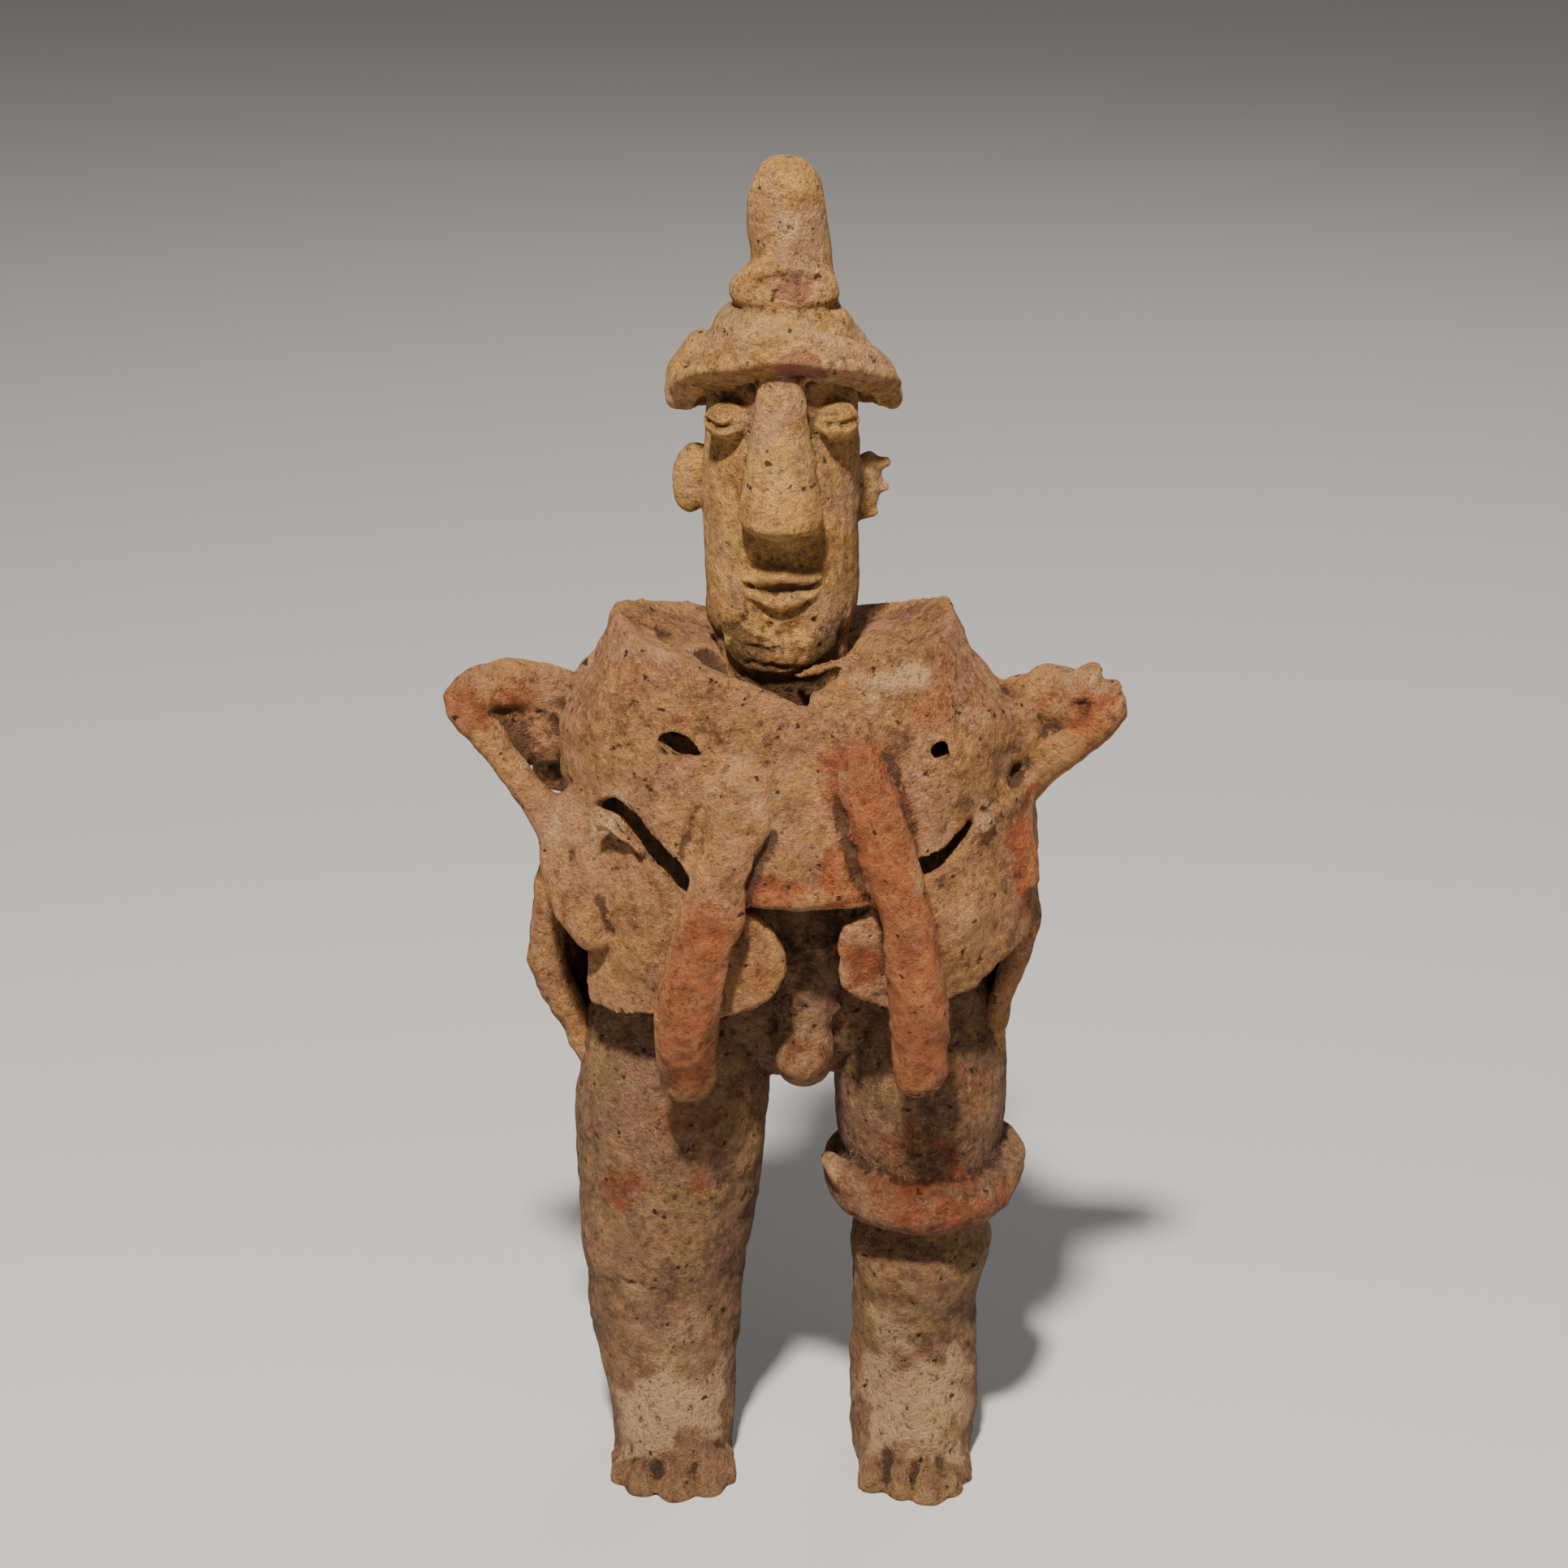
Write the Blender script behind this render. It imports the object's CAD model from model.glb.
"""Standing warrior in armour, built by hand from coils, pellets and sheets of clay, fired in one piece.

Every form is a surface worked out with numpy on the figure's own millimetres, pressed together with its
neighbours as wet clay is, and then given the lumps, pits, cracks and worn slip of the fired figure.
"""

import math

import bmesh
import bpy
import numpy as np
from mathutils import Euler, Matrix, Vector


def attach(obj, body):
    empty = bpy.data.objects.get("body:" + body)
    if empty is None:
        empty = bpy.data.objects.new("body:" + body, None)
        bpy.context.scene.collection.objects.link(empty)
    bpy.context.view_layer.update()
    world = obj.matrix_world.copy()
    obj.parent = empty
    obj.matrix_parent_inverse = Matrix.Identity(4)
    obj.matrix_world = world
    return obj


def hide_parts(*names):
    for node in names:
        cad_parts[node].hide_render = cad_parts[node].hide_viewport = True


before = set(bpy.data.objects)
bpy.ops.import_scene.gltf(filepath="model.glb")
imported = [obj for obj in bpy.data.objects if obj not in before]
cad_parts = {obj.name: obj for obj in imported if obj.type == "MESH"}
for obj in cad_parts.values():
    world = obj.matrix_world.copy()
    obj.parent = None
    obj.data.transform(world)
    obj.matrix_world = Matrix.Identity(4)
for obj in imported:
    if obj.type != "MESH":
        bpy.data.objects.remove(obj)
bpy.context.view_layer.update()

# The camera looks 20 degrees down on the figure from 0.9 m, a little above its waist.
# The figure's own millimetres start between its heels, and AXIS is where that point stands in the frame.
AXIS = np.array([0.45, 4.9, 0.0])
VIEW_DOWN = math.radians(20)
VIEW_REACH = 0.9004
HALF_ANGLE = math.radians(12.5)

aim = Vector((AXIS[0] - 0.8, AXIS[1], 191)) / 1000
camera = bpy.data.objects.new("camera", bpy.data.cameras.new("camera"))
camera.data.sensor_width = 36
camera.data.lens = 18 / math.tan(HALF_ANGLE)
camera.location = aim + VIEW_REACH * Vector((0, -math.cos(VIEW_DOWN), math.sin(VIEW_DOWN)))
camera.rotation_euler = (math.pi / 2 - VIEW_DOWN, 0, 0)
bpy.context.scene.collection.objects.link(camera)
bpy.context.scene.camera = camera


# Legs and feet: two solid columns rolled thick and narrowed to the ankle. The feet are pulled
# forward from them, and each toe is a small roll pressed on, with the grooves left between.
ROUND = 28  # points round a roll

def eased(rows, steps=8):
    """Rows joined by a Catmull-Rom curve: through every row, each span a cubic whose slope at a row
    is half the difference of that row's two neighbours."""
    rows = np.asarray(rows, float)
    ends = np.vstack([2 * rows[0] - rows[1], rows, 2 * rows[-1] - rows[-2]])
    a, b, c, d = (ends[k:len(ends) - 3 + k, None] for k in range(4))
    t = np.linspace(0, 1, steps, endpoint=False)[None, :, None]
    spans = b + 0.5 * t * (c - a + t * (2 * a - 5 * b + 4 * c - d + t * (3 * (b - c) + d - a)))
    return np.vstack([spans.reshape(-1, rows.shape[1]), rows[-1]])


def roll(rows, ends=(1.0, 1.0), facing=(0, -1, 0)):
    """A rolled coil. Rows are x, y, z, half width and half depth; the half depth points to facing.
    Each cross-section is an ellipse square to the path, and each end is a quarter ellipse long
    ends times its half width."""
    run = np.hstack([eased(rows), np.ones((8 * (len(rows) - 1) + 1, 1))])
    turn = np.radians(np.linspace(15, 84, 6))
    for end, share in ((0, ends[0]), (-1, ends[1])):
        inward = run[end + (1 if end == 0 else -1), :3] - run[end, :3]
        inward /= np.linalg.norm(inward)
        tip = np.repeat(run[end][None], len(turn), axis=0)
        tip[:, :3] -= inward * (run[end, 3] * share * np.sin(turn))[:, None]
        tip[:, 5] = np.cos(turn)
        run = np.vstack([tip[::-1], run]) if end == 0 else np.vstack([run, tip])
    along = np.gradient(run[:, :3], axis=0)
    along /= np.linalg.norm(along, axis=1, keepdims=True)
    side = np.cross(along, facing)
    side /= np.linalg.norm(side, axis=1, keepdims=True)
    depth = np.cross(side, along)
    angle = np.linspace(0, 2 * np.pi, ROUND, endpoint=False)[None, :, None]
    across, deep = (run[:, k] * run[:, 5] for k in (3, 4))
    rings = run[:, None, :3] + side[:, None] * across[:, None, None] * np.cos(angle)
    return rings + depth[:, None] * deep[:, None, None] * np.sin(angle), False


def pellet(centre, half, turn=(0, 0, 0)):
    """A pressed lump: an ellipsoid of half sizes half, turned by three angles in degrees. Its rings
    run from pole to pole, the sine of the polar angle wide."""
    polar = np.radians(np.linspace(6, 174, 18))[:, None]
    angle = np.linspace(0, 2 * np.pi, ROUND, endpoint=False)[None]
    ball = np.stack([
        np.sin(polar) * np.cos(angle), np.sin(polar) * np.sin(angle),
        np.cos(polar) * np.ones_like(angle)], axis=2)
    turned = np.array(Euler(np.radians(turn)).to_matrix())
    return (ball * half) @ turned.T + centre, False


left_leg = roll([
    (-25, 3, 150, 16, 18), (-28, 2, 126, 24, 22), (-30, 1, 106, 25, 24), (-31, 1, 88, 24.6, 24),
    (-32.5, 2, 68, 22.8, 22.5), (-32.8, 3, 50, 20.7, 21), (-31.8, 3, 30, 18.9, 19),
    (-31.3, 1, 17, 17.4, 20), (-31, -2, 7, 16.4, 21.5), (-31, -3, -4, 15.8, 21)], (0.5, 0.1))
right_leg = roll([
    (30, 3, 150, 16, 18), (34, 2, 126, 22.5, 22), (35.2, 1, 106, 22.8, 23), (36.2, 1, 90, 20.8, 22),
    (36.5, 2, 77, 17, 18.6), (36.3, 2, 70, 16.2, 17.8), (36, 2, 63, 18.3, 20.2),
    (35.4, 2.4, 56, 17.8, 19.8), (34.6, 3, 47, 16.9, 19), (34.2, 3, 30, 16.8, 18.5),
    (34.2, 1, 17, 16.8, 20), (34.3, -2, 7, 16.2, 21.5), (34.2, -3, -4, 15.4, 21)], (0.5, 0.1))


def foot(middle, half_width, toes):
    """The pad of a foot and its toes. Each toe is its place across, half width and reach."""
    rows = [(middle, 12, 3, half_width * 0.9, 9), (middle, -6, 3, half_width, 10.5),
            (middle, -18, 1.2, half_width * 0.97, 8.2)]
    pieces = [roll(rows, (0.3, 0.2), facing=(0, 0, 1))]
    for x, half, reach in toes:
        deep = min(5.6, 1.4 * half)
        path = [(x, -12, 2.6, half, deep), (x, -reach + 9, 2, half, deep),
                (x, -reach + half, 1, half, 0.85 * deep)]
        pieces.append(roll(path, facing=(0, 0, 1)))
    return pieces


left_toes = [(-44.6, 2.6, 23), (-38.9, 4.5, 29), (-29.8, 5.1, 31.2), (-20.7, 4.8, 29.2), (-15.9, 2.4, 23.5)]
right_toes = [(23.1, 4.2, 27.4), (30.3, 4, 31), (37.6, 4.4, 33), (43.6, 3.3, 29), (47.2, 2.5, 22)]
legs = [left_leg, right_leg, *foot(-31, 14.6, left_toes), *foot(34.2, 14.2, right_toes)]


# Knee ring: one thick roll laid round the leg under the knee. It hangs lower in front, and its two
# ends meet on the inner side, where one stands up in a point.
RING_AT = (36.2, 1)
RING_GIRTH = 20.8
RING_DEPTH = 1.08  # front to back, as a share of side to side

turn = np.linspace(0, 2 * np.pi, 72, endpoint=False)
section = np.linspace(0, 2 * np.pi, ROUND, endpoint=False)
thick = (5.6 - 0.8 * np.sin(turn))[:, None]
reach = RING_GIRTH + thick * np.cos(section)
ring = np.stack([
    RING_AT[0] + reach * np.cos(turn)[:, None],
    RING_AT[1] + RING_DEPTH * reach * np.sin(turn)[:, None],
    (84.6 + 1.4 * np.cos(turn) + 3.4 * np.sin(turn))[:, None] + thick * np.sin(section)], axis=2)
ring_end = roll([
    (25, -18.5, 83.4, 4.6, 4.6), (17, -14, 86, 4.6, 4.4), (11.8, -9.4, 89, 2.8, 2.8)], (1, 1.2))
legs += [(ring, True), ring_end]


# Trunk: the body inside the armour, closed at the crotch. A rough roll stands in front of it, seen
# between the belly pads, its face torn to crumbs, and ends in a round boss.
trunk = roll([
    (3, 4, 117, 18, 18), (3, 5, 127, 38, 22), (3, 6, 145, 41, 25), (2, 6, 170, 43, 26),
    (1, 6, 192, 46, 27), (0, 3, 205, 45, 27), (0, 0, 216, 41, 26)], (0.35, 0.12))
core = roll([(5, -16, 184, 9, 7), (5.4, -17, 160, 8.2, 7), (5, -17.5, 136, 7.6, 7.5)])
boss = pellet((4.5, -19.5, 125.8), (8, 8.8, 9.2))
rng = np.random.default_rng(3)
crumbs = [pellet(
    (rng.normal(5, 4.2), rng.normal(-21.8, 0.8), rng.uniform(137, 162)),
    rng.uniform(0.8, 1.9, 3), rng.uniform(0, 180, 3)) for _ in range(70)]
legs += [trunk, core, boss, *crumbs]


# Working the clay: the rolls, pellets and sheets of one part become one skin, smoothed as by wet
# fingers. Then the skin takes the lumps, pits and cracks that firing and burial leave.
def pressed(name, pieces, grain, smooth=2):
    """One mesh of all the pieces' grids, remade as one skin on a lattice of grain millimetres, and
    smoothed that many times, each point half way to the mean of its neighbours."""
    points, faces, start = [], [], 0
    for grid, loops in pieces:
        n, m = grid.shape[:2]
        ids = start + np.arange(n * m).reshape(n, m)
        low, high = (ids, np.roll(ids, -1, axis=0)) if loops else (ids[:-1], ids[1:])
        quads = np.stack([low, np.roll(low, -1, 1), np.roll(high, -1, 1), high], axis=2)
        faces += quads.reshape(-1, 4).tolist()
        faces += [] if loops else [ids[0, ::-1].tolist(), ids[-1].tolist()]
        points.append(grid.reshape(-1, 3))
        start += n * m
    mesh = bpy.data.meshes.new(name)
    mesh.from_pydata((np.vstack(points) + AXIS) / 1000, [], faces)
    work = bmesh.new()
    work.from_mesh(mesh)
    bmesh.ops.recalc_face_normals(work, faces=work.faces[:])
    work.to_mesh(mesh)
    work.free()
    piece = bpy.data.objects.new(name, mesh)
    bpy.context.scene.collection.objects.link(piece)
    skin = piece.modifiers.new("skin", "REMESH")
    skin.mode, skin.voxel_size = "VOXEL", grain / 1000
    wet = piece.modifiers.new("wet_fingers", "SMOOTH")
    wet.factor, wet.iterations = 0.5, smooth
    return settled(piece)


def settled(piece):
    """The piece with its modifiers made part of its mesh."""
    shape = piece.evaluated_get(bpy.context.evaluated_depsgraph_get())
    old, piece.data = piece.data, bpy.data.meshes.new_from_object(shape)
    piece.modifiers.clear()
    bpy.data.meshes.remove(old)
    return piece


CELL_KEYS = np.array([73856093, 19349663, 83492791])  # large numbers that scatter a lattice cell's place

def noise(points, size, seed):
    """Smooth noise from -1 to 1: a random number at each corner of a lattice of cells of that size
    in millimetres, blended inside a cell along each axis by 3t^2 - 2t^3."""
    at = points / size + 31.7 * seed
    low = np.floor(at).astype(np.int64)
    t = at - low
    t = t * t * (3 - 2 * t)
    total = np.zeros(len(points))
    for corner in np.ndindex(2, 2, 2):
        key = (low + corner) @ CELL_KEYS + seed * 7919
        key = (key ^ (key >> 13)) * 1274126177 & 0x7FFFFFFF
        value = ((key ^ (key >> 11)) & 0xFFFF) / 32767.5 - 1
        total += value * np.prod(np.where(corner, t, 1 - t), axis=1)
    return total


def layers(points, size, seed, count=3):
    """Noise in layers, each half the size and half the height of the one before."""
    return sum(noise(points, size / 2 ** k, seed + k) / 2 ** k for k in range(count))


def pits(points, cell, radius, seed):
    """Pits, 0 outside and 1 at their middle: one in each cell of the lattice, at a random place and of a
    random size up to radius. The depth falls as the square of one less the share of the pit's own
    size, and the smallest pits are shallower."""
    at = points / cell
    low = np.floor(at).astype(np.int64)
    depth = np.zeros(len(points))
    for step in np.ndindex(3, 3, 3):
        home = low + step - 1
        key = home @ CELL_KEYS + seed * 7919
        parts = []
        for k in range(4):
            key = (key ^ (key >> 13)) * 1274126177 & 0x7FFFFFFF
            parts.append(((key >> 7) & 0xFFFF) / 65535)
        away = np.linalg.norm(at - home - np.stack(parts[:3], axis=1), axis=1) * cell
        size = radius * (parts[3] ** 2 + 0.05)
        depth = np.maximum(depth, np.clip(1 - away / size, 0, 1) ** 2 * np.minimum(size / radius * 2, 1))
    return depth


def crack(points, path, width):
    """1 on a wandering line through the path's points and 0 beyond width from it. The distance is to
    the nearest of about 160 points strung along the path."""
    path = eased(path, 160 // (len(path) - 1))
    wander = np.stack([noise(path, 3, 50 + k) for k in range(3)], axis=1) * 0.7
    near = np.full(len(points), 9e9)
    for p in path + wander:
        near = np.minimum(near, np.einsum("ij,ij->i", points - p, points - p))
    return np.clip(1 - np.sqrt(near) / width, 0, 1)


def places(piece):
    """The figure's own millimetres of every point of the piece, and the way its skin faces there."""
    mesh = piece.data
    points = np.empty(len(mesh.vertices) * 3, np.float32)
    normals = np.empty(len(mesh.vertices) * 3, np.float32)
    mesh.vertices.foreach_get("co", points)
    mesh.vertex_normals.foreach_get("vector", normals)
    return points.reshape(-1, 3).astype(float) * 1000 - AXIS, normals.reshape(-1, 3).astype(float)


def moved(piece, points):
    """Puts the piece's points at those millimetres."""
    piece.data.vertices.foreach_set("co", ((points + AXIS) / 1000).astype(np.float32).ravel())
    piece.data.update()


def hollows(piece, rounds):
    """How far each point lies under the mean of its neighbourhood, in millimetres along its normal:
    above 0 in a crease, under 0 on an edge. The mean is taken over that many rounds of neighbours."""
    points, normals = places(piece)
    edges = np.empty(len(piece.data.edges) * 2, np.int32)
    piece.data.edges.foreach_get("vertices", edges)
    a, b = edges.reshape(-1, 2).T
    count = np.bincount(a, minlength=len(points)) + np.bincount(b, minlength=len(points))
    mean = points.copy()
    for _ in range(rounds):
        mean = np.stack([
            np.bincount(a, mean[b, k], len(points)) + np.bincount(b, mean[a, k], len(points))
            for k in range(3)], axis=1) / count[:, None]
    return np.einsum("ij,ij->i", mean - points, normals)


def worn(piece, lump=0.5, pit=0.5, knead=0.8, cracks=()):
    """Wears the skin in three ways. It is kneaded: shifted every way by smooth noise, so that no edge
    stays straight. It is pushed along its normal by layered noise of 18, 5 and 2.4 millimetres, for the
    marks of fingers and grit, and down into pits and cracks. A crack is a path, a width and a depth."""
    points, normals = places(piece)
    marks = layers(points, 18, 1, 2) + 0.55 * layers(points, 5, 9, 2) + 0.36 * noise(points, 2.4, 15)
    push = lump * marks
    push -= pit * (1.5 * pits(points, 6.5, 2.4, 3) + 1.1 * pits(points, 3.1, 1.5, 4))
    for path, width, depth in cracks:
        push -= depth * crack(points, path, width)
    drift = np.stack([layers(points, 13, 20 + 3 * k, 2) for k in range(3)], axis=1)
    moved(piece, points + knead * drift + normals * push[:, None])


def spot(points, centre, radius, seed=5, ragged=0.6):
    """1 in the middle of a patch and 0 outside it: 1.6 times one less the distance over the radii, with
    its edge moved in and out by noise."""
    away = np.linalg.norm((points - centre) / radius, axis=1)
    return np.clip(1.6 * (1 - away + ragged * layers(points, 8, seed)), 0, 1)


def patches(points, rows, seed=5):
    """The strongest of several spots. A row is a centre, the radii and how strong the spot is."""
    spots = [strength * spot(points, centre, radius, seed) for centre, radius, strength in rows]
    return np.max(spots, axis=0)


def painted(piece, name, value):
    """Keeps a value for every point of the piece, from 0 to 1, where its material reads it."""
    layer = piece.data.attributes.new(name, "FLOAT", "POINT")
    layer.data.foreach_set("value", np.clip(value, 0, 1).astype(np.float32))


def soiled(piece, more=0.0):
    """Keeps where dirt has settled, in creases a few points wide, in hollows several times as wide and
    where more says so, and where the edges are rubbed pale."""
    narrow, wide = hollows(piece, 5), hollows(piece, 45)
    painted(piece, "dirt", np.clip(1.3 * narrow, 0, 0.9) + np.clip(0.25 * wide, 0, 0.3) - 0.05 + more)
    painted(piece, "rubbed", -2.4 * narrow - 0.1 * wide)


lower_body = pressed("lower_body", legs, 0.95)
toe_grooves = [([(x, -17, 9), (x, -23, 6.5), (x, -reach, 2)], 2.3, 0.9) for x, reach in (
    (-42.2, 26), (-34.3, 31), (-25.2, 31), (-18, 26), (26.8, 30), (34, 33), (40.8, 32), (45.6, 27))]
worn(lower_body, 0.55, 0.7, 0.7, [
    *toe_grooves, ([(10, -12, 93), (14, -16, 87), (22, -22, 84)], 1.0, 0.8),
    ([(-46, -15.6, 88.2), (-44.6, -17, 87.6)], 1.7, 2.2),
    ([(-47, -12, 58.5), (-40, -18, 57.5), (-32, -20, 56.4), (-25, -19, 57.6)], 1.0, 1.1),
    ([(24, -15, 46), (29, -17.5, 44.5), (33, -18, 46)], 0.8, 0.7)])

points, _ = places(lower_body)
on_ring = np.hypot(points[:, 0] - RING_AT[0], (points[:, 1] - RING_AT[1]) / RING_DEPTH) > RING_GIRTH - 1
ring_slip = on_ring * spot(points, (37, -8, 83), (36, 36, 12), 5, 0.25)
painted(lower_body, "slip", np.maximum(ring_slip, patches(points, [
    ((-26, -22, 106), (14, 9, 7), 0.55), ((-42, -16, 86), (13, 12, 9), 0.6),
    ((-24, -20, 92), (10, 9, 9), 0.45), ((32, -20, 98), (18, 12, 10), 0.55),
    ((46, -15, 112), (10, 12, 12), 0.5), ((34, -18, 55), (16, 12, 7), 0.4),
    ((4.5, -26, 125), (11, 10, 9), 0.75), ((30, -18, 30), (8, 9, 16), 0.35)])))
painted(lower_body, "crust", patches(points, [
    ((-33, -18, 19), (22, 18, 14), 1.3), ((34, -17, 22), (20, 16, 17), 1.2),
    ((28, -18, 40), (12, 14, 18), 0.6), ((-30, -18, 38), (22, 16, 18), 0.45),
    ((-28, -20, 112), (20, 12, 10), 0.35), ((12, -9, 89), (6, 8, 4), 1.0)], 6))
painted(lower_body, "mineral", patches(points, [
    ((38, -18, 104), (20, 14, 18), 0.9), ((-30, -20, 100), (22, 14, 16), 0.6),
    ((-32, -18, 70), (24, 16, 26), 0.5), ((34, -16, 40), (18, 14, 26), 0.45)], 12))
soiled(lower_body, 0.55 * patches(points, [
    ((5, -24, 150), (14, 8, 15), 1.0), ((30, -22, 66), (16, 10, 5), 0.6)], 8))

# the soles are cut flat where they stand
shoe = bmesh.new()
shoe.from_mesh(lower_body.data)
cut = bmesh.ops.bisect_plane(
    shoe, geom=shoe.verts[:] + shoe.edges[:] + shoe.faces[:], plane_co=(0, 0, 0), plane_no=(0, 0, -1),
    clear_outer=True)
rims = [part for part in cut["geom_cut"] if isinstance(part, bmesh.types.BMEdge)]
bmesh.ops.holes_fill(shoe, edges=rims, sides=0)
shoe.to_mesh(lower_body.data)
shoe.free()


# Fired clay: an ochre to brown body, gritty with sand and burnt-out straw. Over it lie an orange-red slip
# worn to patches, a pinkish film, whitish lime, blue-black mineral specks and dirt in the creases.
LIME = (0.78, 0.50, 0.27)

def fired_clay(name, relief, pale, deep, slip, film, moss):
    """The material: noise in two sizes goes from deep to pale, with blots of film and moss. The piece's
    own painted values lay slip, lime, specks and dirt over it. Its bump is sand, straw and pinholes,
    relief metres deep."""
    clay = bpy.data.materials.new(name)
    clay.use_nodes = True
    tree = clay.node_tree
    shader = tree.nodes["Principled BSDF"]
    place = tree.nodes.new("ShaderNodeTexCoord").outputs["Object"]

    def wire(value, socket):
        """Joins a node's output to the socket, or sets the socket to a number or a colour."""
        if isinstance(value, bpy.types.NodeSocket):
            tree.links.new(value, socket)
        else:
            socket.default_value = value

    def mottle(size, detail=4.0, rough=0.6, stretch=(1, 1, 1), shift=0.0):
        """Noise whose largest features are about size metres, from its own part of space."""
        mapping = tree.nodes.new("ShaderNodeMapping")
        mapping.inputs["Location"].default_value = (shift, 0.7 * shift, 0.4 * shift)
        mapping.inputs["Scale"].default_value = stretch
        wire(place, mapping.inputs["Vector"])
        node = tree.nodes.new("ShaderNodeTexNoise")
        wire(mapping.outputs["Vector"], node.inputs["Vector"])
        node.inputs["Scale"].default_value = 1 / size
        node.inputs["Detail"].default_value = detail
        node.inputs["Roughness"].default_value = rough
        return node.outputs["Fac"]

    def between(value, low, high, least=0.0, most=1.0):
        """The value's place from low to high, as least to most, held at the ends."""
        node = tree.nodes.new("ShaderNodeMapRange")
        wire(value, node.inputs["Value"])
        for socket, number in (("From Min", low), ("From Max", high), ("To Min", least), ("To Max", most)):
            node.inputs[socket].default_value = number
        return node.outputs["Result"]

    def sums(kind, a, b):
        """Two values put together by a Math node of that kind."""
        node = tree.nodes.new("ShaderNodeMath")
        node.operation = kind
        wire(a, node.inputs[0])
        wire(b, node.inputs[1])
        return node.outputs[0]

    def over(below, above, share):
        """The colour above laid over the colour below, by share."""
        node = tree.nodes.new("ShaderNodeMix")
        node.data_type = "RGBA"
        wire(share, node.inputs["Factor"])
        for colour, socket in ((below, "A"), (above, "B")):
            target = next(s for s in node.inputs if s.name == socket and s.type == "RGBA")
            wire((*colour, 1) if isinstance(colour, tuple) else colour, target)
        return next(s for s in node.outputs if s.type == "RGBA")

    def tint(colour, share, warmth=1.0):
        """The colour times share, its green and blue also times the first and second power of warmth."""
        return tuple(min(1.0, share * c * warmth ** k) for k, c in enumerate(colour))

    def kept(attribute):
        """The value painted on the piece's points under that name."""
        node = tree.nodes.new("ShaderNodeAttribute")
        node.attribute_name = attribute
        return node.outputs["Fac"]

    def ragged(value, speck, bite):
        """A painted value broken up by noise: where it is 1 nearly all is covered, at half a half."""
        broken = sums("ADD", value, sums("MULTIPLY", sums("SUBTRACT", speck, 0.5), bite))
        return between(broken, 0.30, 0.72)

    broad, middle = mottle(0.026), mottle(0.0065, 5, 0.68, shift=0.3)
    fine, grit = mottle(0.0020, 5, 0.78, shift=0.6), mottle(0.0009, 3, 0.7, shift=0.8)
    cloudy = sums("ADD", sums("MULTIPLY", broad, 0.45), sums("MULTIPLY", middle, 0.55))
    colour = over(deep, pale, between(cloudy, 0.42, 0.58))
    colour = over(colour, moss, between(mottle(0.014, 5, 0.7, shift=2.3), 0.48, 0.62, most=0.60))
    colour = over(colour, film, between(mottle(0.019, 5, 0.7, shift=1.7), 0.47, 0.60, most=0.75))
    worn_slip = sums("ADD", sums("MULTIPLY", middle, 0.6), sums("MULTIPLY", fine, 0.4))
    slips = over(tint(slip, 0.62), slip, between(mottle(0.008, 4, shift=3.1), 0.42, 0.60))
    slipped = ragged(kept("slip"), worn_slip, 2.2)
    bare = sums("SUBTRACT", 1.0, sums("MULTIPLY", slipped, 0.65))
    colour = over(colour, slips, sums("MULTIPLY", slipped, 0.94))
    lime = sums("ADD", sums("MULTIPLY", fine, 0.7), sums("MULTIPLY", middle, 0.3))
    colour = over(colour, LIME, sums("MULTIPLY", ragged(kept("crust"), lime, 4.5), 0.60))
    colour = over(colour, tint(pale, 1.35), sums("MULTIPLY", kept("rubbed"), 0.3))
    colour = over(colour, tint(deep, 0.34), between(fine, 0.52, 0.66, most=0.80))
    sand = sums("MULTIPLY", bare, between(fine, 0.45, 0.34, most=0.60))
    colour = over(colour, tint(pale, 1.55, 0.94), sand)
    glints = sums("MULTIPLY", bare, between(grit, 0.60, 0.70, most=0.45))
    colour = over(colour, tint(pale, 1.8, 0.94), glints)
    hole = between(mottle(0.0034, 2, 0.6, shift=4.2), 0.665, 0.72)
    colour = over(colour, tint(deep, 0.16), sums("MULTIPLY", hole, 0.9))
    fleck = between(mottle(0.0030, 4, 0.78, shift=5.3), 0.54, 0.61)
    flecks = sums("MULTIPLY", fleck, between(middle, 0.40, 0.52, most=0.85))
    colour = over(colour, (0.034, 0.031, 0.034), sums("MULTIPLY", flecks, kept("mineral")))
    colour = over(colour, (0.040, 0.019, 0.010), sums("MULTIPLY", ragged(kept("dirt"), fine, 1.6), 0.72))
    wire(colour, shader.inputs["Base Color"])
    shader.inputs["Metallic"].default_value = 0
    shader.inputs["Specular IOR Level"].default_value = 0.3
    wire(between(fine, 0.35, 0.65, 0.70, 0.98), shader.inputs["Roughness"])

    straw = mottle(0.0030, 4, 0.7, stretch=(1, 1, 0.3), shift=0.9)
    height = sums("ADD", sums("MULTIPLY", fine, -1.0), sums("MULTIPLY", straw, 0.8))
    height = sums("ADD", height, sums("MULTIPLY", grit, 0.45))
    height = sums("SUBTRACT", height, sums("MULTIPLY", hole, 0.30))
    bump = tree.nodes.new("ShaderNodeBump")
    bump.inputs["Strength"].default_value = 1.0
    bump.inputs["Distance"].default_value = relief
    wire(height, bump.inputs["Height"])
    wire(bump.outputs["Normal"], shader.inputs["Normal"])
    return clay


def finished(piece, clay):
    """The piece in its clay, smooth to the eye, part of the one fired body."""
    piece.data.materials.clear()
    piece.data.materials.append(clay)
    piece.data.shade_smooth()
    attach(piece, "root")
    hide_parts("warrior_figure")


finished(lower_body, fired_clay(
    "earthy_clay", relief=0.0055, pale=(0.41, 0.215, 0.098), deep=(0.125, 0.058, 0.029),
    slip=(0.36, 0.070, 0.016), film=(0.28, 0.135, 0.082), moss=(0.30, 0.180, 0.066)))


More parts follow.
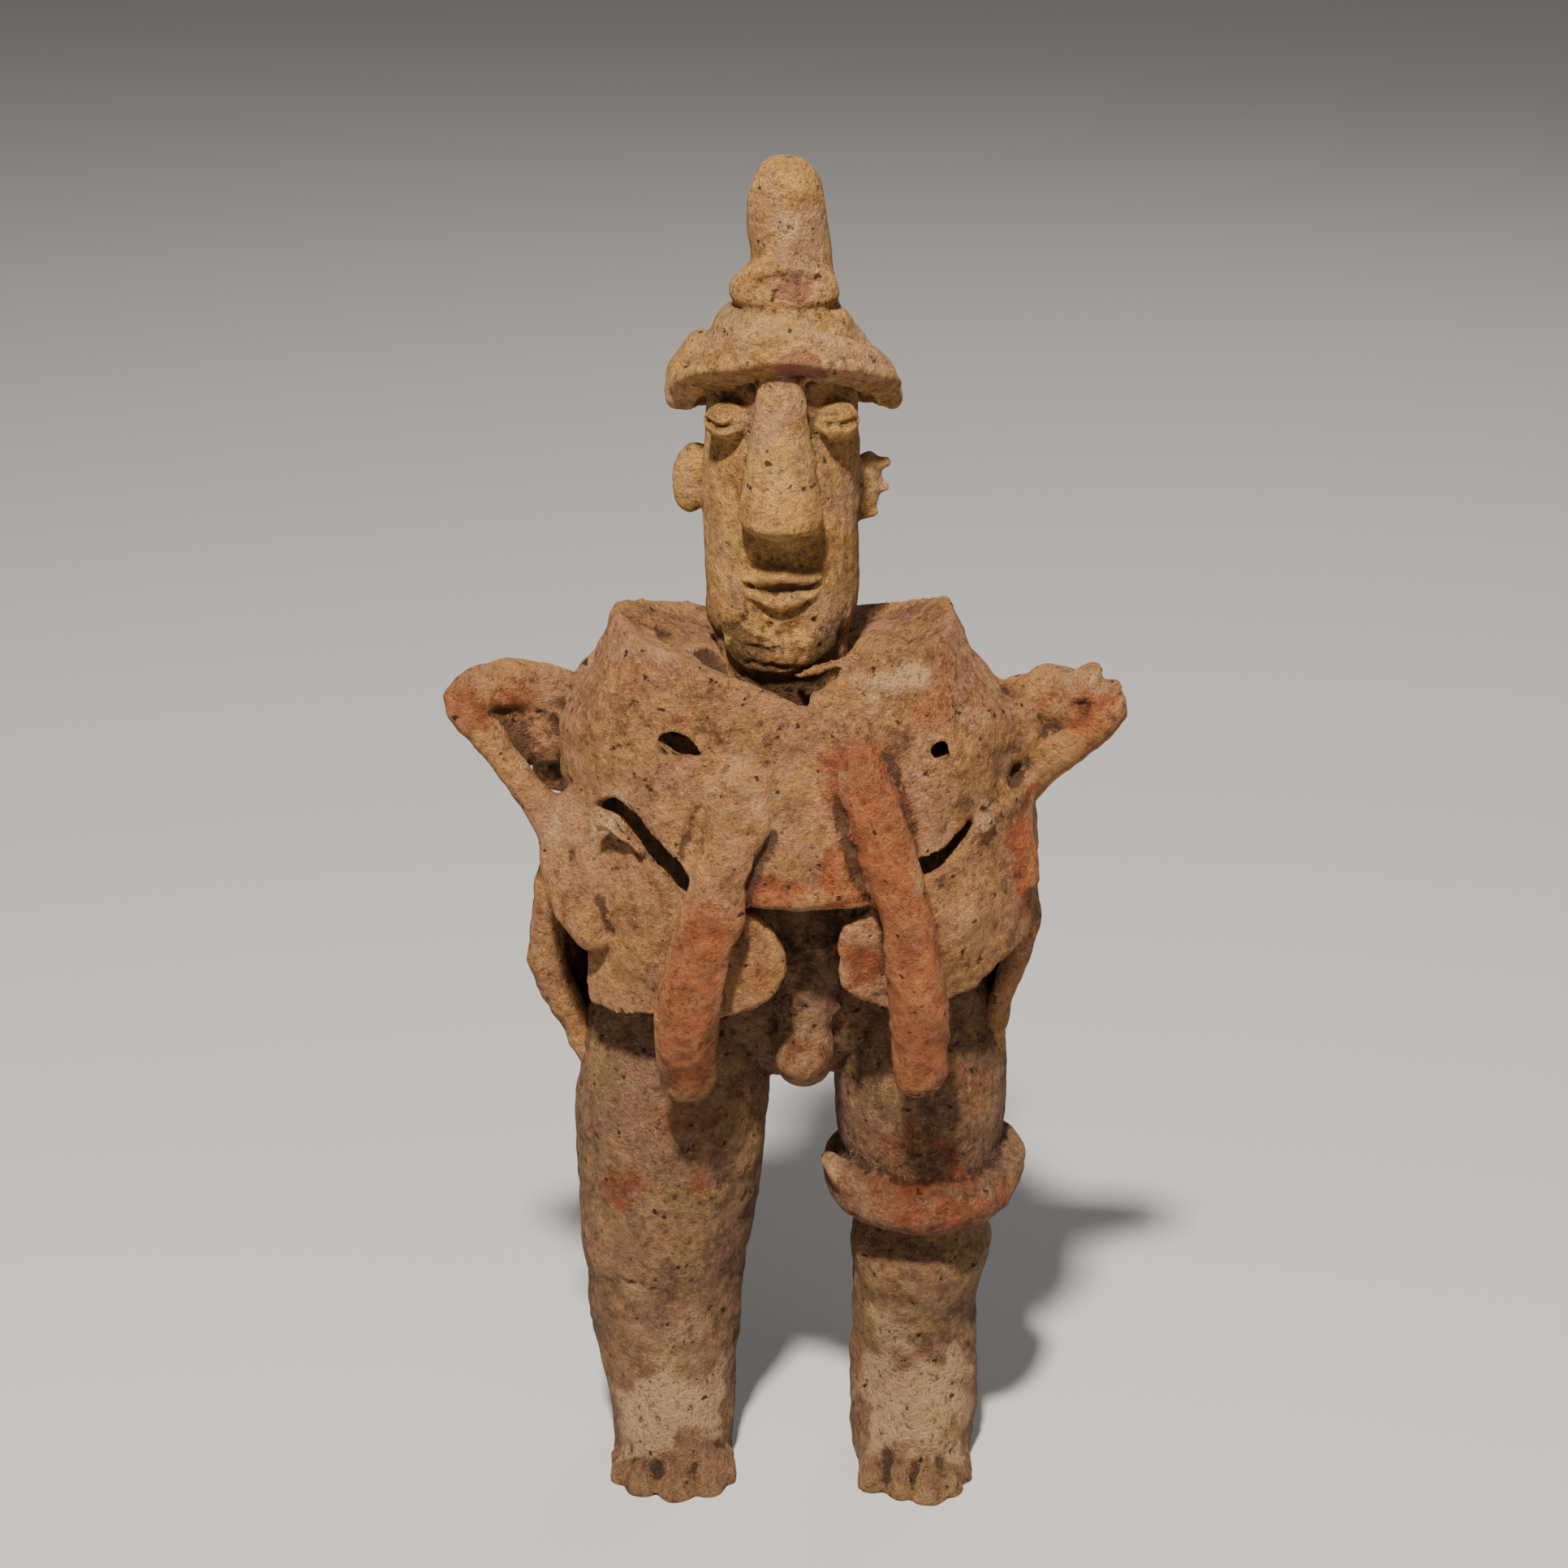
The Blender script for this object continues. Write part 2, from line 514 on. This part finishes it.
# Cuirass: a stiff sheet bent right round the chest and joined behind. Its standing collar has two
# high corners and falls to a V in front, where the clay is torn, and a hole goes through each breast.
SHEET = 4.8
COLLAR = 16  # how thick the sheet is turned over at the collar
OVAL = 2.4
HEM = [  # places across the front, and how high the lower edge is there
    (-60, 186), (-46, 197), (-42.6, 198.5), (-37.5, 194.6), (-31, 188.2), (-25, 182.6), (-19, 177),
    (-14, 174.5), (22, 174.5), (28, 181.5), (32.6, 184.8), (38.4, 187), (43.6, 190.4), (48.4, 195.5),
    (52, 194), (60, 186)]

def read(rows, at):
    """The height at each place of the polyline through rows of (place, height)."""
    return np.interp(at, *zip(*rows))


def sheet(outside, wall, loops):
    """A sheet of clay: its outer face is a grid of points, and its inner face lies a wall's thickness
    under it, along the normal. The wall is one number, or one for each point. Each column of the grid,
    out and back, is one cross-section."""
    run = np.concatenate([outside[-1:], outside, outside[:1]]) if loops else outside
    along = np.gradient(run, axis=0)
    along = along[1:-1] if loops else along
    normal = np.cross(along, np.gradient(outside, axis=1))
    normal /= np.linalg.norm(normal, axis=2, keepdims=True)
    return np.concatenate([outside, (outside - normal * wall)[:, ::-1]], axis=1), loops


def oval(angle, half_width, front, back):
    """Points round the body: a superellipse of exponent OVAL, with its own depth in front and behind."""
    across, deep = np.cos(angle), np.sin(angle)
    x = half_width * np.sign(across) * np.abs(across) ** (2 / OVAL)
    return x, np.where(deep < 0, front, back) * np.sign(deep) * np.abs(deep) ** (2 / OVAL)


around = np.linspace(0, 2 * np.pi, 220, endpoint=False)
around, up = np.meshgrid(around, np.linspace(0, 1, 44), indexing="ij")
x, y = oval(
    around,
    half_width=read([(0, 57), (0.25, 58), (0.48, 57.5), (0.7, 48.5), (0.86, 44.5), (1, 41)], up),
    front=read([(0, 44), (0.35, 42), (0.7, 37.5), (1, 33)], up),
    back=read([(0, 35), (0.4, 35), (0.75, 31), (1, 26)], up))
x = x * np.where(x < 0, 1 + 0.06 * up ** 2, 1) + 0.6
notch, corner = 5.5, 41
run_out = np.where(x < notch, notch + corner, corner - notch)
rim_front = 222 + 16 * np.clip(np.abs(x - notch) / run_out, 0, 1) ** 0.85
rim_back = 231 + 7 * np.clip(np.abs(x) / corner, 0, 1) ** 3
low = np.where(np.sin(around) < 0, read(HEM, x), 176)
z = low + (np.where(np.sin(around) < 0, rim_front, rim_back) - low) * up
thicker = np.clip((up - 0.78) / 0.2, 0, 1) * np.clip(np.abs(x - notch) / 22, 0.15, 1)
cuirass = sheet(np.stack([x, y, z], axis=2), SHEET + (COLLAR - SHEET) * thicker[:, :, None], True)

rng = np.random.default_rng(7)
torn = [pellet(
    (8 + 19 * t + rng.normal(0, 0.8), -32.5 + 6 * t + rng.uniform(0, 3),
     223.4 + 9.4 * t + rng.normal(0, 0.9)),
    rng.uniform(1.1, 2.9, 3), rng.uniform(0, 180, 3)) for t in rng.uniform(0, 1, 56)]
torn += [pellet(
    (-46 + 11 * t + rng.normal(0, 0.5), -33 - 2 * t + rng.normal(0, 0.6),
     193.6 - 8 * t + rng.normal(0, 0.5)),
    rng.uniform(0.8, 1.8, 3), rng.uniform(0, 180, 3)) for t in rng.uniform(0, 1, 26)]
torn += [pellet(
    (x + rng.normal(0, 0.8), y + rng.normal(0, 0.7), z + rng.normal(0, 0.9)),
    rng.uniform(0.8, 1.9, 3), rng.uniform(0, 180, 3)) for x, y, z in 6 * [
        (-45.6, -32.5, 192), (49, -30.5, 191), (-21, -36.5, 215.6), (-30.5, -34.5, 214.6),
        (40.8, -31.5, 211)]]
strand = roll([
    (2, -21, 226.5, 0.8, 0.8), (9, -24, 229.4, 1.2, 1.2), (16, -25, 232.4, 1.2, 1.2),
    (22, -24, 234.6, 0.8, 0.8)])
lip = roll([
    (-13, -40, 179.2, 2.6, 3), (-5, -41.2, 178, 3.4, 3.8), (8, -41.4, 177.8, 3.6, 4),
    (21, -40, 179, 2.8, 3)])
ridge = roll([(-54, 3, 217, 2, 3), (-49.5, 4, 221.6, 2.2, 3.4), (-44, 5, 225.5, 1.8, 3)])
shoulders = [
    roll([(0, 3, 200, 45, 27), (0, 0, 216, 41, 26)], (0.1, 0.12)),
    pellet((-26, -3, 219), (16, 25, 13), (0, 17, 0)),
    pellet((24.5, 1, 218.6), (16.5, 26, 13.4), (0, -18, 0))]
armour = [cuirass, *torn, strand, lip, ridge, *shoulders]
notch_gap = [
    (-20, -12, 229), (-14, -19, 224), (-5, -24, 221), (4, -26.5, 219.5), (11, -24.5, 222),
    (17, -19, 227), (20, -12, 231)]


# Belly pads: two bowed sheets tucked up under the cuirass with a slit left above each. They leave
# the middle of the belly open, and their inner ends are round lobes.
PAD_MIDDLE, PAD_HALF, PAD_DEEP = 3, 61, 40

def belly_pad(across, hem, top, swell):
    """A bowed sheet on the superellipse of the body, from its hem up to its top, with a swelling that
    falls off as a bell curve. swell is its place across and up, its half size and its height."""
    ends = [math.copysign(math.asin((abs(x - PAD_MIDDLE) / PAD_HALF) ** (OVAL / 2)), x - PAD_MIDDLE)
            for x in across]
    turn, up = np.meshgrid(np.linspace(*ends, 90), np.linspace(0, 1, 40), indexing="ij")
    x, y = oval(turn - np.pi / 2, PAD_HALF, PAD_DEEP, PAD_DEEP)
    x = x + PAD_MIDDLE
    low, high = read(hem, x), read(top, x)
    z = low + (high - low) * up
    y = y * (1 - 0.06 * np.clip((168 - z) / 26, 0, 1))
    y -= swell[3] * np.exp(-((x - swell[0]) ** 2 + (z - swell[1]) ** 2) / swell[2] ** 2)
    return sheet(np.stack([x, y, z], axis=2), SHEET, False)


left_pad = belly_pad(
    (-51, -0.5),
    [(-51, 140), (-43, 139), (-34, 141), (-17, 142), (-9, 144.5), (-3, 149.5), (-0.5, 155)],
    [(-51, 195), (-42.6, 193.4), (-37.5, 187), (-31, 180.2), (-25, 175), (-20, 172.5), (-15, 171.5),
     (-8, 169.5), (-3, 165), (-0.5, 159)],
    (-34, 160, 14, 1.5))
right_pad = belly_pad(
    (12, 63.9),
    [(12, 155), (13.5, 150.5), (18, 147), (26, 143.5), (38, 144), (47, 147.5), (53, 151.5), (60, 156),
     (64, 157)],
    [(12, 161), (14, 166.5), (19, 171.5), (23, 174), (28, 178), (32.6, 179.6), (38.4, 181.2),
     (43.6, 184.8), (48.4, 192), (52, 195), (64, 197)],
    (43, 163, 15, 4))
armour += [left_pad, right_pad]


# Back plate: a sheet lapped over the cuirass behind, bowed round the hips, with a thick roll along
# each front edge. Two short flat straps hold it to the collar.
turn, up = np.meshgrid(np.radians(np.linspace(98, -98, 110)), np.linspace(0, 1, 60), indexing="ij")
low = 119 - 7 * np.cos(turn) ** 2
z = low + (198 + 9 * np.cos(turn) ** 2 - low) * up
half = read([
    (110, 52), (122, 55), (136, 60), (149, 62.5), (162, 61.5), (180, 57), (192, 54.5), (205, 53)], z)
deep = read([(110, 31), (135, 36), (160, 36.5), (180, 36), (205, 34.5)], z)
plate = sheet(np.stack([half * np.sin(turn), 2 + deep * np.cos(turn), z], axis=2), SHEET, False)
left_edge = roll([
    (-58.5, -1, 176, 3.6, 4), (-60.8, -1, 162, 4.4, 5), (-62.2, -1, 149, 4.8, 5.5),
    (-60, -1, 137, 4.6, 5.5), (-55, -1, 125, 4, 5), (-51, -1, 115, 3.4, 5)])
right_edge = roll([
    (60.4, -7, 164, 3.4, 4.5), (61.2, -7, 156, 4.2, 5), (59, -7, 147.5, 4.2, 5), (55, -6, 134, 3.6, 5),
    (53.2, -4, 121, 3.8, 5), (52.2, -3, 112, 3.6, 5)])
back_straps = [roll([
    (x * 0.8, 26, 227, 4.6, 3.2), (x * 0.95, 33.4, 214, 5.2, 4), (x * 1.1, 37.2, 200, 5.4, 4)])
    for x in (-17, 15)]
armour += [plate, left_edge, right_edge, *back_straps]


# Straps: two flattened rolls pressed on to the breast under the V, with a groove along their upper
# edges. They run down over the belly pads and hang free in front of the thighs, with round ends.
left_strap = roll([
    (-7.5, -36.8, 206, 6.4, 4), (-11.6, -40.7, 196, 7, 4.4), (-15.2, -42.9, 184, 7.2, 5),
    (-19, -44, 172, 7.4, 5.5), (-22.8, -43.6, 158, 7.9, 5.6), (-24.8, -43.2, 147, 7.9, 5.5),
    (-25.4, -40.4, 136, 7.9, 5.3), (-25.3, -34.6, 124.6, 7.6, 5)], (1.4, 1.0))
right_strap = roll([
    (14.6, -33.6, 215, 5.4, 4), (18.6, -38.6, 205, 6.3, 4.5), (23.8, -42.2, 192, 6.9, 5.2),
    (28.6, -44, 176, 7.1, 5.5), (31.6, -43.8, 158, 7.3, 5.6), (32.8, -42.8, 146, 7.2, 5.4),
    (33.2, -39.4, 129.6, 7.3, 5.2)], (1.4, 1.0))
armour += [left_strap, right_strap]
strap_edges = [
    [(-3.4, -42, 194), (-6.4, -43, 187), (-8.6, -44.4, 180), (-9.8, -44.4, 173)],
    [(-22.5, -40.5, 199), (-24.6, -41, 191), (-26.6, -41.5, 184)],
    [(11.4, -40.5, 202), (14.5, -41.2, 192), (17, -43, 184), (19, -43.4, 176.5)]]


# Arms: each a roll bent sharply at the hand, with a thin web of clay closing the bend. The one at
# -X ends on the belly pad, and the one at +X is a fist held up, its thumb and fingers small rolls.
left_arm = roll([
    (-50, -1, 211, 7, 6), (-61, -2, 216, 6.6, 6), (-70, -3, 218.4, 6.4, 6), (-78, -4.4, 217.2, 6.2, 5.8),
    (-80.2, -6, 213, 5.2, 5.4), (-75.3, -8, 206, 4.4, 5), (-68.2, -11, 197.8, 4.4, 5),
    (-62, -14, 190, 5, 5), (-55.8, -17.6, 182.6, 7.4, 5), (-53.4, -20.6, 174.6, 8, 5),
    (-51.2, -24, 167, 7, 4.8), (-49.2, -26.6, 162, 5.6, 4.5)], (0.8, 0.9))
left_web = [
    pellet((-65.5, -2.8, 209), (16, 3.6, 12.5), (0, -34, 0)), pellet((-60.5, -3, 204), (8.5, 3.6, 7)),
    pellet((-60, 2, 196), (6, 3, 8)), pellet((-52, -18, 188), (6, 6.5, 9)),
    pellet((-46.5, -23.5, 177), (6.5, 5, 14), (0, 8, 0))]
left_fingers = [pellet((-83.4, -7.2, z), (2.6, 3.4, 2.2)) for z in (216.6, 212.6)]
right_arm = [
    roll([(50, -1, 211, 7, 6), (58, -3, 214, 7, 6), (66, -4, 215, 7, 6)]),
    pellet((66.5, -5, 214.2), (11.4, 6.8, 10)), pellet((73, -6, 212), (8, 5.4, 7)),
    pellet((62, -5, 205), (12, 5, 8), (0, -40, 0)), pellet((56, -9, 208), (8, 7, 9.5)),
    pellet((69.6, -9.6, 214.4), (6, 4, 4.6)),
    roll([
        (79, -7.6, 214.4, 6, 5.8), (74.2, -8, 209, 5.2, 5.4), (68, -8.6, 203.2, 4.9, 5.2),
        (61.8, -9, 197.2, 5, 5.4), (58.4, -11, 190.5, 4.9, 5.6), (57.8, -15, 183.5, 4.5, 5.4),
        (59, -17, 177, 4.4, 5.2), (59.6, -17, 172.8, 4.1, 5)], (0.9, 0.9)),
    roll([(76.2, -7, 224.2, 2, 2.4), (74, -9.6, 223, 2.5, 2.8), (71.4, -11.4, 219.2, 2.3, 2.6)])]
right_fingers = [roll([(x - 5, -11, z - 1.6, 1.8, 2.8), (x, -9, z, 2, 2.8)])
                 for x, z in ((80.4, 220.2), (81.6, 216.6), (82.8, 213))]
armour += [left_arm, *left_web, *left_fingers, *right_arm, *right_fingers]

upper_body = pressed("upper_body", armour, 1.14, 2)
bores = pressed("bores", [
    pellet((-26.1, -33, 214), (5.6, 11, 3), (0, 22, 0)), pellet((37.2, -26, 212), (3.6, 11, 3.3))], 0.8, 1)
hole = upper_body.modifiers.new("chest_holes", "BOOLEAN")
hole.object, hole.operation, hole.solver = bores, "DIFFERENCE", "EXACT"
settled(upper_body)
bpy.data.objects.remove(bores)
worn(upper_body, 0.62, 0.55, 0.9, [
    (notch_gap, 3.2, 3.4), *[(edge, 1.9, 1.7) for edge in strap_edges],
    ([(57, -14, 204.5), (62, -12, 206.6), (67, -12, 209)], 0.9, 1.0),
    ([(50.5, -28, 211), (54, -25, 213)], 1.2, 2.2), ([(-58, -20, 176), (-52, -27, 170)], 0.7, 0.5),
    ([(57.6, -16, 199.4), (57.8, -13, 199.8)], 1.5, 2.5)])

points, _ = places(upper_body)
strap_paint = np.maximum(
    crack(points, [(17, -42, 208), (24, -46, 192), (29, -48, 176), (32, -48, 158), (33, -47, 130)], 15),
    0.9 * crack(points, [(-20, -48, 170), (-23, -48, 158), (-25, -47, 145), (-25.3, -46, 126)], 13))
painted(upper_body, "slip", np.maximum(1.5 * strap_paint, patches(points, [
    ((10, -46, 184), (15, 9, 9), 0.95), ((4, -44, 178), (22, 8, 6), 0.9),
    ((60, -16, 180), (9, 14, 16), 1.0), ((62, -8, 156), (8, 12, 14), 0.6),
    ((-82, -8, 216), (10, 12, 9), 0.9), ((-69, -9, 217), (12, 9, 7), 0.6),
    ((78, -12, 214), (12, 12, 10), 0.75), ((66, -11, 218), (12, 9, 8), 0.5),
    ((38, -26, 222), (15, 16, 20), 0.5), ((-9, -38, 152), (12, 10, 12), 0.5),
    ((17, -38, 156), (9, 12, 12), 0.75), ((22, -38, 208), (10, 10, 10), 0.4),
    ((-36, -30, 230), (12, 14, 9), 0.35), ((42, -40, 158), (24, 14, 14), 0.3),
    ((-36, -38, 158), (22, 14, 14), 0.25), ((-26, -37, 221), (9, 9, 5), 0.5)])))
painted(upper_body, "crust", patches(points, [
    ((-57, -24, 190), (14, 14, 16), 0.6), ((-50, -28, 176), (7, 9, 16), 0.6),
    ((-6, -40, 200), (24, 12, 12), 0.4), ((44, -40, 186), (20, 14, 7), 0.6),
    ((46, -42, 166), (18, 14, 14), 0.35), ((-44, -32, 192), (6, 8, 9), 1.0),
    ((49, -32, 192), (6, 8, 5), 1.0), ((20, -26, 228), (15, 10, 8), 0.9),
    ((-24, -20, 234), (20, 16, 6), 0.6), ((-30, -38, 178), (18, 12, 9), 0.5),
    ((77, -10, 222), (9, 9, 5), 0.6), ((-46, 2, 222), (12, 9, 8), 0.9)], 6))
painted(upper_body, "mineral", patches(points, [
    ((44, -36, 196), (20, 14, 12), 0.7), ((-34, -36, 200), (26, 14, 16), 0.45),
    ((0, -36, 216), (40, 16, 16), 0.3), ((0, -44, 150), (60, 20, 22), 0.35)], 12))
soiled(upper_body, 1.2 * crack(points, notch_gap, 6))
finished(upper_body, fired_clay(
    "ochre_clay", relief=0.0045, pale=(0.56, 0.268, 0.098), deep=(0.195, 0.082, 0.031),
    slip=(0.43, 0.105, 0.034), film=(0.43, 0.200, 0.118), moss=(0.43, 0.220, 0.066)))


# Head: a long round column with a rounded chin and pressed-on ears. The face is plain and calm: a
# ridge for the nose, a slit pellet for each eye, and two small rolls on a low mound for the lips.
BROW, CHIN = 301, 224
# the nose ends half way from brow to chin, and the mouth is a third of the way on from there
NOSE_END = (BROW + CHIN) / 2
MOUTH = NOSE_END - (NOSE_END - CHIN) / 3
EYES = BROW - (BROW - CHIN) / 7
MIDDLE, SKIN = -1.5, -21

head = [
    roll([
        (-1.4, -3.5, 240, 18.6, 18.5), (-1.5, -3.5, 260, 19.2, 18.5), (-1.5, -3, 282, 19, 18.5),
        (-1, -2, 300, 18, 18), (-0.5, -1, 312, 14, 14)], (0.8, 0.3)),
    roll([(0, 1, 205, 17, 16), (-0.8, 0, 219, 16.6, 16.4), (-1.3, -3, 236, 17, 17.6)], (0.3, 0.3)),
    pellet((-23.2, 1.5, 271.5), (5, 3.8, 9.2), (0, 6, 0)),
    pellet((19.2, 1.5, 269.5), (3.8, 3.6, 8.6), (0, 8, 0))]
head += [roll([(x - 5, 1.5, z - 0.8, 2, 2.4), (x, 1, z, 1.3, 1.6)])
         for x, z in ((24.2, 275.4), (23.8, 269.4), (21, 263))]
head += [
    roll([
        (MIDDLE, SKIN + 1, BROW, 6, 5), (MIDDLE, SKIN - 1, EYES, 7, 6.5),
        (MIDDLE, SKIN - 2.5, NOSE_END + 15, 9, 8.4),
        (MIDDLE, SKIN - 3, NOSE_END + 5, 10.4, 9.6)], (0.4, 0.45)),
    pellet((MIDDLE, SKIN + 7, CHIN + 10), (14, 8.8, 9.5))]
head += [pellet((MIDDLE + side * 13.2, SKIN + 4, EYES), (5.6, 5.4, 5), (0, side * 12, side * 34))
         for side in (-1, 1)]
head += [pellet((MIDDLE, SKIN + 4, MOUTH), (10.5, 6.4, 8))]
head += [roll([
    (MIDDLE - half, SKIN + 1.4, z - bow, 1.8, 2.2), (MIDDLE, SKIN - 1, z + bow, 2.8, 3.4),
    (MIDDLE + half, SKIN + 1.4, z - bow, 1.8, 2.2)])
    for z, half, bow in ((MOUTH + 2.6, 8, 0.7), (MOUTH - 2.8, 7, -0.7))]
eye_slits = [([
    (MIDDLE + side * 8.6, SKIN - 1, EYES), (MIDDLE + side * 13.6, SKIN - 1.6, EYES),
    (MIDDLE + side * 18, SKIN + 2.5, EYES)], 1.3, 1.8) for side in (-1, 1)]
nostrils = [([
    (MIDDLE + side * 4.6, SKIN - 8, NOSE_END + 1.4), (MIDDLE + side * 4.6, SKIN - 5, NOSE_END + 0.6)],
    2.2, 2) for side in (-1, 1)]
mouth_line = ([(MIDDLE - 8, SKIN, MOUTH), (MIDDLE, SKIN - 3, MOUTH), (MIDDLE + 8, SKIN, MOUTH)], 1.5, 1.4)


# Helmet: a thick cap bent over the head, with a flap over each ear. Its rim arches over the face and
# comes down at the sides and behind. A roll runs along it in front, and clay fills the step over that.
HELMET_WALL = 5.5

around = np.linspace(0, 2 * np.pi, 144, endpoint=False)
around, up = np.meshgrid(around, np.linspace(0, 1, 30), indexing="ij")
ahead = np.clip(-np.sin(around), 0, 1)
rim = 289 - 3 * np.clip(np.sin(around), 0, 1) + 16 * ahead ** 0.8
z = rim + (317.5 - rim) * up
girth = read([(285, 28.2), (291, 28.2), (297, 26.2), (303, 22.6), (309, 17.8), (314, 13.4), (317.5, 9)], z)
x = -0.6 + girth * np.cos(around)
y = -0.5 + (girth + 5.2 * ahead * (1 - up) ** 0.6) * np.sin(around)
cap = sheet(np.stack([x, y, z], axis=2), HELMET_WALL, True)
# the front half of the rim, with how far each place is to the front
front_rim = [(x[i, 0], y[i, 0], z[i, 0], ahead[i, 0] ** 0.6) for i in range(76, 141, 4)]
brim = roll([(a, b + 1, c + 2.8, 0.8 + 2.1 * share, 0.8 + 2.5 * share) for a, b, c, share in front_rim])
brow_fill = roll([(0.93 * a, 0.88 * b, c + 6.2, 0.8 + 2.4 * share, 0.8 + 2.8 * share)
                  for a, b, c, share in front_rim[2:-2]])
head += [
    cap, brim, brow_fill, pellet((-0.6, -1.5, 309.4), (17, 18, 8.6)),
    roll([(-21.5, 3, 305, 3.2, 7), (-25.8, 3, 298.5, 3.6, 8.5), (-27.6, 3, 291.5, 3, 7)]),
    roll([(21, 3, 301, 2.6, 6), (24.4, 3, 296, 3, 8), (26, 3, 290.5, 2.8, 6.5)])]


# Horn: one stout roll standing on the crown, a little bent, with two lips of clay lapped round its
# foot in front to hold it.
HORN_TIP, HORN_GIRTH = 351, 9

head += [
    roll([
        (2.4, 1, 308, 10.4, 10.2), (2.1, 1, 316, 10.2, 10), (1.1, 0.5, 325, 9.8, 9.6),
        (-0.1, 0, 335, 9.4, 9.3), (-0.5, 0, HORN_TIP - HORN_GIRTH, HORN_GIRTH, HORN_GIRTH)], (0.2, 1.0)),
    pellet((-0.8, -5, 318.8), (13.4, 8.6, 5.2)),
    roll([
        (-12, -4, 320, 2.2, 3), (-8, -7.2, 324, 2.4, 3), (-1.2, -8, 326, 2.4, 3.2),
        (5.4, -7.8, 325, 2.4, 3), (9.8, -5.2, 321.4, 2.2, 3)]),
    pellet((-0.8, -3.6, 322.6), (10.8, 6.6, 4.6))]

head_and_helmet = pressed("head_and_helmet", head, 0.7)
neck_marks = [
    ([(x, -19, z), (x + 7, -22, z + drop / 3), (x + 16, -20, z + drop)], 1.1, depth)
    for x, z, drop, depth in (
        (-15, 243, -5, 1.3), (-13, 238.5, -7, 1.0), (-12, 235, -4, 1.4), (-10, 230.5, -3, 1.1),
        (1, 246, -6, 1.2), (3, 252, -9, 0.9), (4, 241, -7, 1.3), (6, 234, -5, 1.2))]
worn(head_and_helmet, 0.4, 0.4, 0.5, [*eye_slits, *nostrils, mouth_line, *neck_marks])

points, _ = places(head_and_helmet)
painted(head_and_helmet, "slip", patches(points, [
    ((0, -30, 305), (15, 10, 5), 0.9), ((0, -15, 321), (11, 7, 4.5), 0.8), ((0, -2, 345), (8, 10, 8), 0.3),
    ((-28, 2, 294), (6, 9, 8), 0.3), ((0, -8, 214), (22, 16, 12), 0.4)]))
painted(head_and_helmet, "crust", patches(points, [
    ((1, -9, 337), (5, 6, 7), 0.9), ((0, -20, 313), (24, 16, 6), 0.55),
    ((-1.5, -30, 276), (8, 9, 22), 0.35)], 6))
painted(head_and_helmet, "mineral", patches(points, [
    ((0, 0, 334), (16, 16, 18), 1.0), ((-2, -8, 312), (30, 26, 8), 0.4),
    ((0, -16, 240), (24, 20, 26), 0.4)], 12))
soiled(head_and_helmet, spot(points, (-1, -14, 227), (28, 26, 19), 8, 0.5))
finished(head_and_helmet, fired_clay(
    "buff_clay", relief=0.0038, pale=(0.68, 0.345, 0.104), deep=(0.30, 0.134, 0.038),
    slip=(0.38, 0.125, 0.080), film=(0.46, 0.255, 0.150), moss=(0.46, 0.285, 0.085)))


# Stand: a plain pale floor that carries on behind, in a pale room. One lamp stands high in front, a weak
# one low at +X, and a soft one behind for the figure's back.
bpy.ops.mesh.primitive_grid_add(x_subdivisions=2, y_subdivisions=2, size=12)
floor = bpy.context.object
floor.name = "floor"
matt = bpy.data.materials.new("pale_floor")
matt.use_nodes = True
paint = matt.node_tree.nodes["Principled BSDF"]
paint.inputs["Base Color"].default_value = (0.52, 0.51, 0.50, 1)
paint.inputs["Roughness"].default_value = 0.8
floor.data.materials.append(matt)

def lamp(name, place, size, watts, tint):
    """A square soft lamp of that size in metres, aimed at the figure's chest."""
    light = bpy.data.objects.new(name, bpy.data.lights.new(name, "AREA"))
    light.data.size, light.data.energy, light.data.color = size, watts, tint
    light.location = place
    light.rotation_euler = (Vector((0, 0, 0.2)) - Vector(place)).to_track_quat("-Z", "Y").to_euler()
    bpy.context.scene.collection.objects.link(light)


lamp("key_lamp", (-0.16, -1.00, 1.70), 0.14, 78, (1.0, 0.95, 0.86))
lamp("fill_lamp", (0.9, -1.1, 0.9), 0.7, 1.5, (1.0, 0.96, 0.92))
lamp("back_lamp", (0.5, 1.3, 1.3), 0.6, 6, (1.0, 0.97, 0.92))
room = bpy.data.worlds.new("room")
bpy.context.scene.world = room
room.use_nodes = True
room.node_tree.nodes["Background"].inputs["Color"].default_value = (0.85, 0.87, 0.90, 1)
room.node_tree.nodes["Background"].inputs["Strength"].default_value = 0.15
